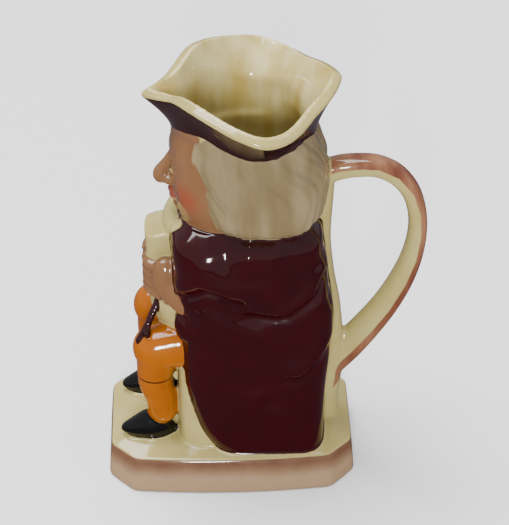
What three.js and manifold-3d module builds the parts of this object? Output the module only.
// A toby jug: a slip-cast earthenware jug in the form of a seated man in a three-cornered hat.
// He sits on a block seat on a low plinth with clipped corners, holds an ale mug in both hands and wears
// a full coat, breeches and shoes. The hat is the mouth of the jug, and its front corner is the pouring
// lip.
// A loop handle springs from the back of the hair and runs down into a rib along the spine.
//
// Millimetres, +Z up. The man faces -Y and his left hand is at +X. The origin is the centre of the
// underside.
import * as THREE from "three";
import { mergeVertices } from "three/addons/utils/BufferGeometryUtils.js";
import Module from "manifold-3d";

const wasm = await Module();
wasm.setup();

// ---------------------------------------------------------------- driving dimensions
const WALL = 4.6; // thickness of the cast wall
const FLOOR = 5; // thickness of the clay under the hollow

const PLINTH = {
  halfLength: 50,
  halfWidth: 29.5,
  clip: 10, // how much each corner is cut off
  bow: 2.2, // how far each long side bows out in the middle
  draft: 3.2, // how far the foot stands out beyond the top edge at the sides
  endDraft: 1.3, // and at the ends
  edgeHeight: 15.5,
  dome: 3.2, // rise of the upper surface from its edge to the seat
};

// Profiles down the height: [height, value], read by a smooth curve through the points.
const COAT = {
  bottom: 13,
  top: 123,
  front: [[13, -4], [16, -7], [20, -10.6], [28, -15], [46, -19.4], [60, -20.2], [80, -20], [95, -21.4],
    [112, -23.4], [118, -22.4], [123, -17]],
  back: [[13, 38.5], [40, 39], [60, 40.6], [72, 41.6], [90, 39.8], [112, 37], [119, 36], [123, 32]],
  half: [[13, 29], [30, 28.6], [60, 28.8], [85, 29.6], [100, 29.4], [112, 28.8], [118, 27.8], [123, 23]],
  square: 5.6, // corner exponent: 2 is an ellipse, more is boxier
};
const SEAT = { bottom: 13, top: 56, front: -22, back: 34, half: 25, square: 6 };

const HAIR = {
  bottom: 121.5,
  top: 167,
  front: [[121.5, -1], [125, -7.6], [130, -9.8], [137, -11.2], [146, -13.6], [155, -16.4], [162, -15],
    [167, -9]],
  back: [[121.5, 30], [126, 35.5], [134, 38.2], [145, 38.4], [155, 34.6], [162, 32.4], [167, 29]],
  half: [[121.5, 23], [126, 29.5], [133, 32], [142, 32.4], [152, 30.6], [161, 28.4], [167, 25.6]],
  square: 3,
};

// The hat's edge, by plan angle: 0 is at +X, -90 at the pouring lip, 90 at the handle.
const HAT = {
  centreY: 6,
  bandX: 29.2, // half width of the head where the hat sits on it
  bandY: 28.3,
  bandHeight: [[-90, 159.5], [-79, 162], [-58, 166], [-34, 168.4], [-16, 165], [5, 161], [25, 161.5],
    [42, 163.6], [60, 162.6], [90, 157.5]],
  edge: [[-90, 40.2, 173.4], [-77, 33.2, 175.8], [-62, 30.8, 178.8], [-42, 32.4, 180.5], [-22, 35, 179.2],
    [-4, 38.8, 176.2], [9, 41.4, 173.8], [20, 40.6, 173.2], [33, 37.8, 173.9], [50, 34.8, 176],
    [68, 35.6, 178.2], [90, 38.4, 180.3]],
  lip: 4.8, // thickness of the clay at the edge
  root: 150, // height at which the hat's clay is lost in the head
  tuck: 4, // how far inside the band it is there
  fill: 177, // middle of the block that the mouth is cut from
  mouthFloor: 150, // height at which the mouth runs into the hollow of the head
  mouthTop: 192,
};

// The hollow is two chambers that run into each other, one in the body and one in the head.
const BODY_HOLLOW = {
  bottom: FLOOR,
  top: 122,
  front: [[FLOOR, -12], [9, -15], [20, -16.5], [50, -17], [66, -18.2], [80, -20], [92, -18.5], [104, -14],
    [113, -12], [122, -11]],
  back: [[FLOOR, 31], [9, 33.5], [20, 34.4], [60, 36], [72, 36.8], [90, 35.2], [112, 32.4], [122, 31]],
  half: [[FLOOR, 18], [9, 20.5], [30, 22], [60, 23.8], [85, 24.8], [100, 24.4], [112, 23], [122, 20]],
  square: 3.4,
};
const HEAD_HOLLOW = {
  bottom: 112,
  top: 158,
  front: [[112, -8], [120, -9.5], [130, -11.5], [145, -14], [158, -16]],
  back: [[112, 30], [121, 31.2], [134, 33.4], [145, 33.4], [158, 29.4]],
  half: [[112, 18], [120, 19.6], [130, 22.4], [142, 24.4], [150, 24], [158, 24.4]],
  square: 2.2,
};

const HANDLE = {
  // centre line in the plane X = 0: [Y, Z, half thickness]
  line: [[33, 134.5, 4.6], [43, 138.4, 4.5], [51, 139.4, 4.2], [58.5, 138.8, 4], [66, 134.8, 3.9],
    [71.8, 127.4, 3.8], [74.8, 118, 3.8], [75.5, 107.5, 3.9], [73.8, 95.5, 4.3], [69.9, 83.6, 4.9],
    [64, 71.5, 5.4], [56.6, 60.2, 6], [48.4, 49.6, 6.6], [38, 38.5, 7.2]],
  halfWidth: 5.2,
};
const RIB = {
  line: [[34, 136, 8], [34, 124, 7.4], [33.8, 106, 7], [35.6, 88, 7], [38, 70, 7.6], [39.4, 46, 7.8],
    [38, 28, 7.6], [36.5, 14, 9]],
  halfWidth: 8,
};

const KNEE = { x: 14.6, y: -30.6, z: 62.2, radius: 9.3 };
const ANKLE = { x: 14.6, y: -28.2, z: 22, radius: 5 };
const SHOE = { x: 14.6, toe: -46.2, heel: -22.8, sole: 18, half: 5.8, instep: 30 };
const BELLY = { y: -13.5, z: 81, halfWidth: 20, depth: 19.2, height: 24 };
const MUG = { y: -24.4, half: 9.6, bottom: 85.6, top: 114, taper: 1.6, froth: 3.4 };
const HAND = { x: 12.5, y: -24.5, z: 93 };
const RIBBON = { from: [8.5, -28.6, 84], lap: [8, -33.4, 74.6], knee: [7.6, -37, 62.5], tail: 1.2 };

const HEAD = {
  bottom: 116,
  top: 168,
  front: [[116, -16], [120, -19], [126, -20.6], [132, -21.8], [142, -22.8], [150, -22.8], [158, -22],
    [168, -18]],
  back: [[116, 20], [168, 22]],
  half: [[116, 18], [120, 21.4], [126, 23], [132, 23.8], [142, 24.6], [152, 24.8], [160, 24], [168, 21]],
  square: 2.3,
};
const BROW_Z = 149; // the face is divided in thirds: brow, nose base and chin
const NOSE_Z = 134.6;
const MOUTH_Z = 129.4;
const CHIN_Z = 122;
const EYE = { x: 7.6, y: -19.2, z: 145.4, radius: 3.5 };

// ---------------------------------------------------------------- curves and shapes
// The value at `at` of a smooth curve through [[position, value, ...], ...], in column `column`.
function along(table, at, column = 1) {
  const last = table.length - 1;
  let i = 0;
  while (i < last - 1 && at > table[i + 1][0]) i += 1;
  const slope = (k) => {
    const a = table[Math.max(k - 1, 0)];
    const b = table[Math.min(k + 1, last)];
    return (b[column] - a[column]) / (b[0] - a[0]);
  };
  const [p, q] = [table[i], table[i + 1]];
  const span = q[0] - p[0];
  const t = Math.min(Math.max((at - p[0]) / span, 0), 1);
  const [t2, t3] = [t * t, t * t * t];
  return (2 * t3 - 3 * t2 + 1) * p[column] + (t3 - 2 * t2 + t) * span * slope(i)
    + (3 * t2 - 2 * t3) * q[column] + (t3 - t2) * span * slope(i + 1);
}

// A point on a superellipse: square 2 is an ellipse, more is boxier.
function superPoint(angle, a, b, square) {
  const power = (v) => Math.sign(v) * Math.abs(v) ** (2 / square);
  return [a * power(Math.cos(angle)), b * power(Math.sin(angle))];
}

// Moves every vertex of a geometry and gives the solid that it encloses.
function solidOf(geometry, move = (v) => v) {
  const points = geometry.clone();
  points.deleteAttribute("normal");
  points.deleteAttribute("uv");
  const merged = mergeVertices(points, 1e-4);
  const position = merged.getAttribute("position");
  const v = new THREE.Vector3();
  for (let i = 0; i < position.count; i += 1) {
    const moved = move(v.fromBufferAttribute(position, i));
    position.setXYZ(i, moved.x, moved.y, moved.z);
  }
  return new wasm.Manifold(new wasm.Mesh({
    numProp: 3,
    vertProperties: position.array,
    triVerts: new Uint32Array(merged.index.array),
  }));
}

// A closed skin over rings: ring(t, angle) gives the point at share t of the way up, centre(t) each
// ring's middle.
function skin(rows, segments, ring, centre) {
  const tube = new THREE.CylinderGeometry(1, 1, 1, segments, rows).rotateX(Math.PI / 2);
  return solidOf(tube, (v) => {
    const t = v.z + 0.5;
    if (Math.hypot(v.x, v.y) < 0.5) return centre(t);
    return ring(t, Math.atan2(v.y, v.x));
  });
}

// A body whose level sections are superellipses between a front and a back profile.
function bodyBetween(shape, rows, segments, relief = () => 0) {
  const height = (t) => shape.bottom + t * (shape.top - shape.bottom);
  const read = (profile, z) => (Array.isArray(profile) ? along(profile, z) : profile);
  const middle = (z) => (read(shape.front, z) + read(shape.back, z)) / 2;
  return skin(rows, segments, (t, angle) => {
    const z = height(t);
    const depth = (read(shape.back, z) - read(shape.front, z)) / 2;
    const [x, y] = superPoint(angle, read(shape.half, z), depth, shape.square);
    const out = relief(x, y + middle(z), z);
    const reach = Math.hypot(x, y);
    return new THREE.Vector3(x * (1 + out / reach), middle(z) + y * (1 + out / reach), z);
  }, (t) => new THREE.Vector3(0, middle(height(t)), height(t)));
}

// A rod through points [x, y, z, radius], as thick as its radius and, where halfWidth is given, that wide
// across X.
function rod(points, rows, segments, halfWidth = null, square = 2) {
  const curve = new THREE.CatmullRomCurve3(points.map((p) => new THREE.Vector3(p[0], p[1], p[2])));
  const radii = points.map((p, i) => [i / (points.length - 1), p[3]]);
  return skin(rows, segments, (t, angle) => {
    const tangent = curve.getTangent(t);
    const across = Math.abs(tangent.x) > 0.9 ? new THREE.Vector3(0, 1, 0) : new THREE.Vector3(1, 0, 0);
    const side = across.clone().sub(tangent.clone().multiplyScalar(across.dot(tangent))).normalize();
    const up = new THREE.Vector3().crossVectors(tangent, side);
    const radius = along(radii, t);
    const [a, b] = superPoint(angle, halfWidth ?? radius, radius, square);
    return curve.getPoint(t).addScaledVector(side, a).addScaledVector(up, b);
  }, (t) => curve.getPoint(t));
}

// An egg: a sphere drawn out to three radii, turned, and set in place.
function egg(centre, radii, turn = [0, 0, 0], segments = 12, rings = 8) {
  const euler = new THREE.Euler(...turn.map((d) => THREE.MathUtils.degToRad(d)));
  return solidOf(new THREE.SphereGeometry(1, segments, rings), (v) => new THREE.Vector3(
    v.x * radii[0], v.y * radii[1], v.z * radii[2],
  ).applyEuler(euler).add(new THREE.Vector3(...centre)));
}

// The same piece on the left and on the right.
function pair(make) {
  return make(1).add(make(-1));
}

// How close (y, z) is to a chain of points: 1 on it, falling to nothing over `reach`.
function nearness(y, z, chain, reach) {
  let nearest = Infinity;
  for (let i = 0; i + 1 < chain.length; i += 1) {
    const [y0, z0] = chain[i];
    const [dy, dz] = [chain[i + 1][0] - y0, chain[i + 1][1] - z0];
    const share = ((y - y0) * dy + (z - z0) * dz) / (dy * dy + dz * dz);
    const t = Math.min(Math.max(share, 0), 1);
    nearest = Math.min(nearest, Math.hypot(y - y0 - t * dy, z - z0 - t * dz));
  }
  return Math.exp(-((nearest / reach) ** 2));
}

// ---------------------------------------------------------------- drapery and hair
const SLEEVE = [[8, 117], [13, 102], [4, 104], [-8, 110]];
const SLEEVE_CREASE = [[-17, 96], [-10.2, 100.2], [-4.3, 98.6], [5.5, 90], [13.4, 84.9], [23.3, 86.6],
  [34.2, 95.3], [37.3, 102.6]];
const LAP_FOLD = [[15, 77], [4, 80], [-10, 88]];
const HIP_FOLD = [[38.4, 85.3], [37.4, 75.2], [32.3, 65.2], [25.6, 59.2]];

// How far the coat stands out from its plain form at a place on its side.
function drapery(x, y, z) {
  const side = Math.min(1, Math.abs(x) / 20);
  return side * (2.2 * nearness(y, z, SLEEVE, 9) - 2.2 * nearness(y, z, SLEEVE_CREASE, 4.4)
    + 1 * nearness(y, z, LAP_FOLD, 6) + 1.5 * nearness(y, z, HIP_FOLD, 5));
}

// Locks of hair: ridges that sweep back as they fall.
function locks(x, y, z) {
  const sweep = Math.atan2(y - 10, Math.abs(x)) - (HAIR.top - z) * 0.012;
  return 0.55 * Math.sin(sweep * 15);
}

// ---------------------------------------------------------------- the plinth
// The plinth's plan, corner by corner round from +X: a bowed oblong with clipped corners.
function plinthPlan() {
  const { halfLength, halfWidth, clip, bow } = PLINTH;
  const side = [-1, -0.5, 0, 0.5, 1].map((t) => [halfWidth + bow * (1 - t * t), t * (halfLength - clip)]);
  const end = [[halfWidth - clip, halfLength], [0, halfLength], [clip - halfWidth, halfLength]];
  const half = [...side, ...end];
  return [...half, ...half.map(([x, y]) => [-x, -y])];
}

function plinth() {
  const { edgeHeight, draft, endDraft, dome, halfWidth, halfLength } = PLINTH;
  const plan = plinthPlan();
  const rings = [[draft - 0.8, 0], [draft, 0.9], [0.7, edgeHeight - 1.4], [0, edgeHeight - 0.6],
    [-1, edgeHeight], [-8, edgeHeight + dome * 0.62], [-18, edgeHeight + dome]];
  const rows = rings.length - 1;
  return skin(rows, plan.length, (t, angle) => {
    const corner = Math.round((angle / (2 * Math.PI)) * plan.length + 2 * plan.length) % plan.length;
    const [grow, z] = rings[Math.round(t * rows)];
    const [x, y] = plan[corner];
    const growEnd = grow > 0 ? grow * (endDraft / draft) : grow;
    return new THREE.Vector3(x * (1 + grow / halfWidth), y * (1 + growEnd / halfLength), z);
  }, (t) => new THREE.Vector3(0, 0, rings[Math.round(t * rows)][1]));
}

// ---------------------------------------------------------------- the seated man
function legs() {
  return pair((s) => {
    const { x, y, z, radius } = KNEE;
    const thigh = rod([[s * 11, -4, 63, 9.5], [s * 12.6, -16, 63.4, 9.8], [s * x, y, z, radius]], 3, 12);
    const knee = egg([s * x, y, z], [radius, radius, radius], [0, 0, 0], 12, 6);
    const shin = rod([[s * x, y + 0.4, z - 4, 8.4], [s * x, -31, 46, 7.2],
      [s * ANKLE.x, -29, 34, 6.3], [s * ANKLE.x, ANKLE.y, ANKLE.z + 4.5, ANKLE.radius + 0.7],
      [s * ANKLE.x, ANKLE.y, ANKLE.z, ANKLE.radius]], 5, 12);
    return thigh.add(knee).add(shin);
  });
}

function shoes() {
  const middle = (SHOE.toe + SHOE.heel) / 2;
  const length = (SHOE.heel - SHOE.toe) / 2;
  return pair((s) => solidOf(new THREE.SphereGeometry(1, 12, 6), (v) => {
    const back = (v.y + 1) / 2;
    const rise = Math.sin(Math.PI * Math.min(back * 0.85, 1)) ** 2;
    const height = 4.6 + (SHOE.instep - SHOE.sole - 6) * rise * 0.8;
    const half = SHOE.half * (0.86 + 0.16 * Math.sin(Math.PI * Math.min((1 - back) * 1.2, 1)));
    const level = v.z > 0 ? v.z * height : v.z * 2.4;
    return new THREE.Vector3(s * SHOE.x + v.x * half, middle + v.y * length, SHOE.sole + 1.6 + level);
  }));
}

function coatFlaps() {
  return pair((s) => egg([s * 21, -17.6, 77.5], [5.4, 5, 8], [8, 0, 0], 8, 6));
}

function belly() {
  return egg([0, BELLY.y, BELLY.z], [BELLY.halfWidth, BELLY.depth, BELLY.height], [0, 0, 0], 14, 8);
}

function mug() {
  const { y, half, bottom, top, taper, froth } = MUG;
  return skin(3, 20, (t, angle) => {
    const grow = half - taper * (1 - t);
    const [dx, dy] = superPoint(angle, grow, grow, 4);
    return new THREE.Vector3(dx, y + dy, bottom + t * (top - bottom) + (t === 1 ? dy * 0.22 : 0));
  }, (t) => new THREE.Vector3(0, y, bottom + t * (top - bottom) + (t === 1 ? froth * 0.5 : 0)));
}

function hands() {
  return pair((s) => {
    const { x, y, z } = HAND;
    const back = egg([s * x, y + 1, z], [5.6, 7.2, 12], [18, 0, s * 12], 10, 8);
    const wrist = rod([[s * (x + 1), y + 1, z - 2, 6], [s * (x + 5), y + 9, z - 4, 8],
      [s * 19, -8, 92, 8.5]], 3, 10);
    return [0, 1, 2, 3].reduce((sum, i) => {
      const top = z + 6.2 - i * 4.1;
      return sum.add(rod([[s * (x - 1.5), y - 3, top - 1, 2.3], [s * (x - 4.5), y - 7.6, top, 2.2],
        [s * (x - 9.5), y - 9, top + 0.4, 1.9]], 2, 6));
    }, back.add(wrist));
  });
}

function ribbon() {
  const [kx, ky, kz] = RIBBON.knee;
  const [x, y, z] = RIBBON.from;
  const [lx, ly, lz] = RIBBON.lap;
  const strand = (end, apart) => rod([[x + apart, y, z, 1.3], [lx + apart, ly, lz, 1.4],
    [kx - apart, ky + end, kz + end, RIBBON.tail]], 4, 6);
  return strand(-0.6, 0.5).add(strand(3, -0.6));
}

function collar() {
  const roll = rod([[15, -12, 119.5, 4], [11, -19, 117.6, 4.1], [0, -22.4, 116.4, 4.2],
    [-11, -19, 117.6, 4.1], [-15, -12, 119.5, 4]], 8, 8);
  const chest = egg([0, -11, 104], [20, 13, 20], [0, 0, 0], 12, 6);
  return roll.add(chest);
}

// ---------------------------------------------------------------- the head
function face() {
  const chin = egg([0, -18.2, CHIN_Z + 2.6], [5.2, 4, 3.8], [0, 0, 0], 8, 4);
  const nose = rod([[0, -20.6, BROW_Z - 1, 2.2], [0, -23.6, 142.6, 2.5], [0, -26.6, NOSE_Z + 2.4, 3.3],
    [0, -24.6, NOSE_Z + 0.6, 2.4]], 5, 8);
  const wings = pair((s) => egg([s * 3.4, -23.2, NOSE_Z + 1.6], [2, 2.6, 1.9], [0, 0, 0], 6, 4));
  const brows = pair((s) => rod([[s * 3, -21.6, BROW_Z - 0.4, 1.8], [s * 8, -20.8, BROW_Z + 0.8, 2],
    [s * 13.4, -16.6, BROW_Z - 0.8, 1.7]], 3, 6));
  const cheeks = pair((s) => egg([s * 10.4, -15.4, 138], [6.6, 5.4, 6], [0, 0, 0], 10, 8));
  const lip = (half, y, end, middle, thick) => rod([[-half, -19.4, end, 0.8], [0, y, middle, thick],
    [half, -19.4, end, 0.8]], 4, 6);
  const lips = lip(6.2, -22.8, MOUTH_Z, MOUTH_Z + 1.1, 1.4)
    .add(lip(5.4, -22.2, MOUTH_Z - 0.6, MOUTH_Z - 1.6, 1.6));
  const sockets = pair((s) => egg([s * EYE.x, EYE.y - 2.6, EYE.z], [4.6, 3, 3.2], [0, 0, 0], 8, 4));
  const eyes = pair((s) => egg([s * EYE.x, EYE.y + 1.8, EYE.z], [EYE.radius, EYE.radius, EYE.radius * 0.9],
    [0, 0, 0], 8, 6));
  return bodyBetween(HEAD, 7, 24).add(brows).add(cheeks).subtract(sockets)
    .add(eyes).add(chin).add(nose).add(wings).add(lips);
}

// ---------------------------------------------------------------- the hat
// The plan angle in degrees, folded so that both sides read the same table from the lip to the handle.
function foldedAngle(angle) {
  const degrees = THREE.MathUtils.radToDeg(Math.asin(Math.min(Math.max(Math.sin(angle), -1), 1)));
  return Math.min(Math.max(degrees, -90), 90);
}

// Where the hat's wall is at a plan angle: share 0 at the band round the head, 1 at the outer edge.
function hatWall(angle, share, inward) {
  const at = foldedAngle(angle);
  const [bx, by] = [HAT.bandX * Math.cos(angle), HAT.bandY * Math.sin(angle)];
  const band = Math.hypot(bx, by);
  const bandZ = along(HAT.bandHeight, at);
  const edge = along(HAT.edge, at, 1);
  const edgeZ = along(HAT.edge, at, 2);
  const run = Math.hypot(edge - band, edgeZ - bandZ);
  const [outR, outZ] = [(edge - band) / run, (edgeZ - bandZ) / run];
  const flare = share * Math.abs(share) ** 0.35; // the wall leaves the head steeply, then curls out
  const reach = band + (edge - band) * flare - inward * outZ;
  return new THREE.Vector3(reach * Math.cos(angle), HAT.centreY + reach * Math.sin(angle),
    bandZ + (edgeZ - bandZ) * share + inward * outR);
}

function hat() {
  const rows = [[-1, 0], [0, 0], [0.33, 0], [0.66, 0], [0.94, 0], [1, 0.7], [1, HAT.lip + 0.4]];
  const last = rows.length - 1;
  return skin(last, 40, (t, angle) => {
    const [share, inward] = rows[Math.round(t * last)];
    return share < 0 ? hatWall(angle, 0, HAT.tuck).setZ(HAT.root) : hatWall(angle, share, inward);
  }, (t) => new THREE.Vector3(0, HAT.centreY, t < 0.5 ? HAT.root : HAT.fill));
}

// ---------------------------------------------------------------- the handle and the rib
function handle() {
  return rod(HANDLE.line.map(([y, z, half]) => [0, y, z, half]), 21, 10, HANDLE.halfWidth, 2.5)
    .add(rod(RIB.line.map(([y, z, half]) => [0, y, z, half]), 7, 10, RIB.halfWidth, 2.3));
}

// ---------------------------------------------------------------- the hollow
function hollow() {
  const chamber = bodyBetween(BODY_HOLLOW, 10, 24).add(bodyBetween(HEAD_HOLLOW, 4, 24));
  const rows = [[-1, WALL], [0.05, WALL], [0.35, WALL], [0.7, WALL], [1, HAT.lip], [1.6, HAT.lip]];
  const last = rows.length - 1;
  const mouth = skin(last, 36, (t, angle) => {
    const [share, inward] = rows[Math.round(t * last)];
    return share < 0 ? hatWall(angle, 0, WALL).setZ(HAT.mouthFloor) : hatWall(angle, share, inward);
  }, (t) => new THREE.Vector3(0, HAT.centreY, t < 0.5 ? HAT.mouthFloor : HAT.mouthTop));
  return chamber.add(mouth);
}

// ---------------------------------------------------------------- the jug
function jug() {
  const outside = [
    plinth(), bodyBetween(SEAT, 2, 20), bodyBetween(COAT, 15, 32, drapery), belly(), collar(), legs(),
    shoes(), coatFlaps(), mug(), hands(), ribbon(), face(), bodyBetween(HAIR, 8, 38, locks), hat(), handle(),
  ].reduce((sum, piece) => sum.add(piece));
  return outside.subtract(hollow());
}

const mesh = jug().getMesh();
const geometry = new THREE.BufferGeometry()
  .setAttribute("position", new THREE.BufferAttribute(mesh.vertProperties, 3))
  .setIndex(new THREE.BufferAttribute(mesh.triVerts, 1));
geometry.computeVertexNormals();
const glazedEarthenware = new THREE.MeshStandardMaterial({ color: 0xd9cfa4, roughness: 0.18, metalness: 0 });
const body = new THREE.Mesh(geometry, glazedEarthenware);
body.name = "toby_jug";

const tobyJug = new THREE.Group();
tobyJug.add(body);
export default tobyJug;
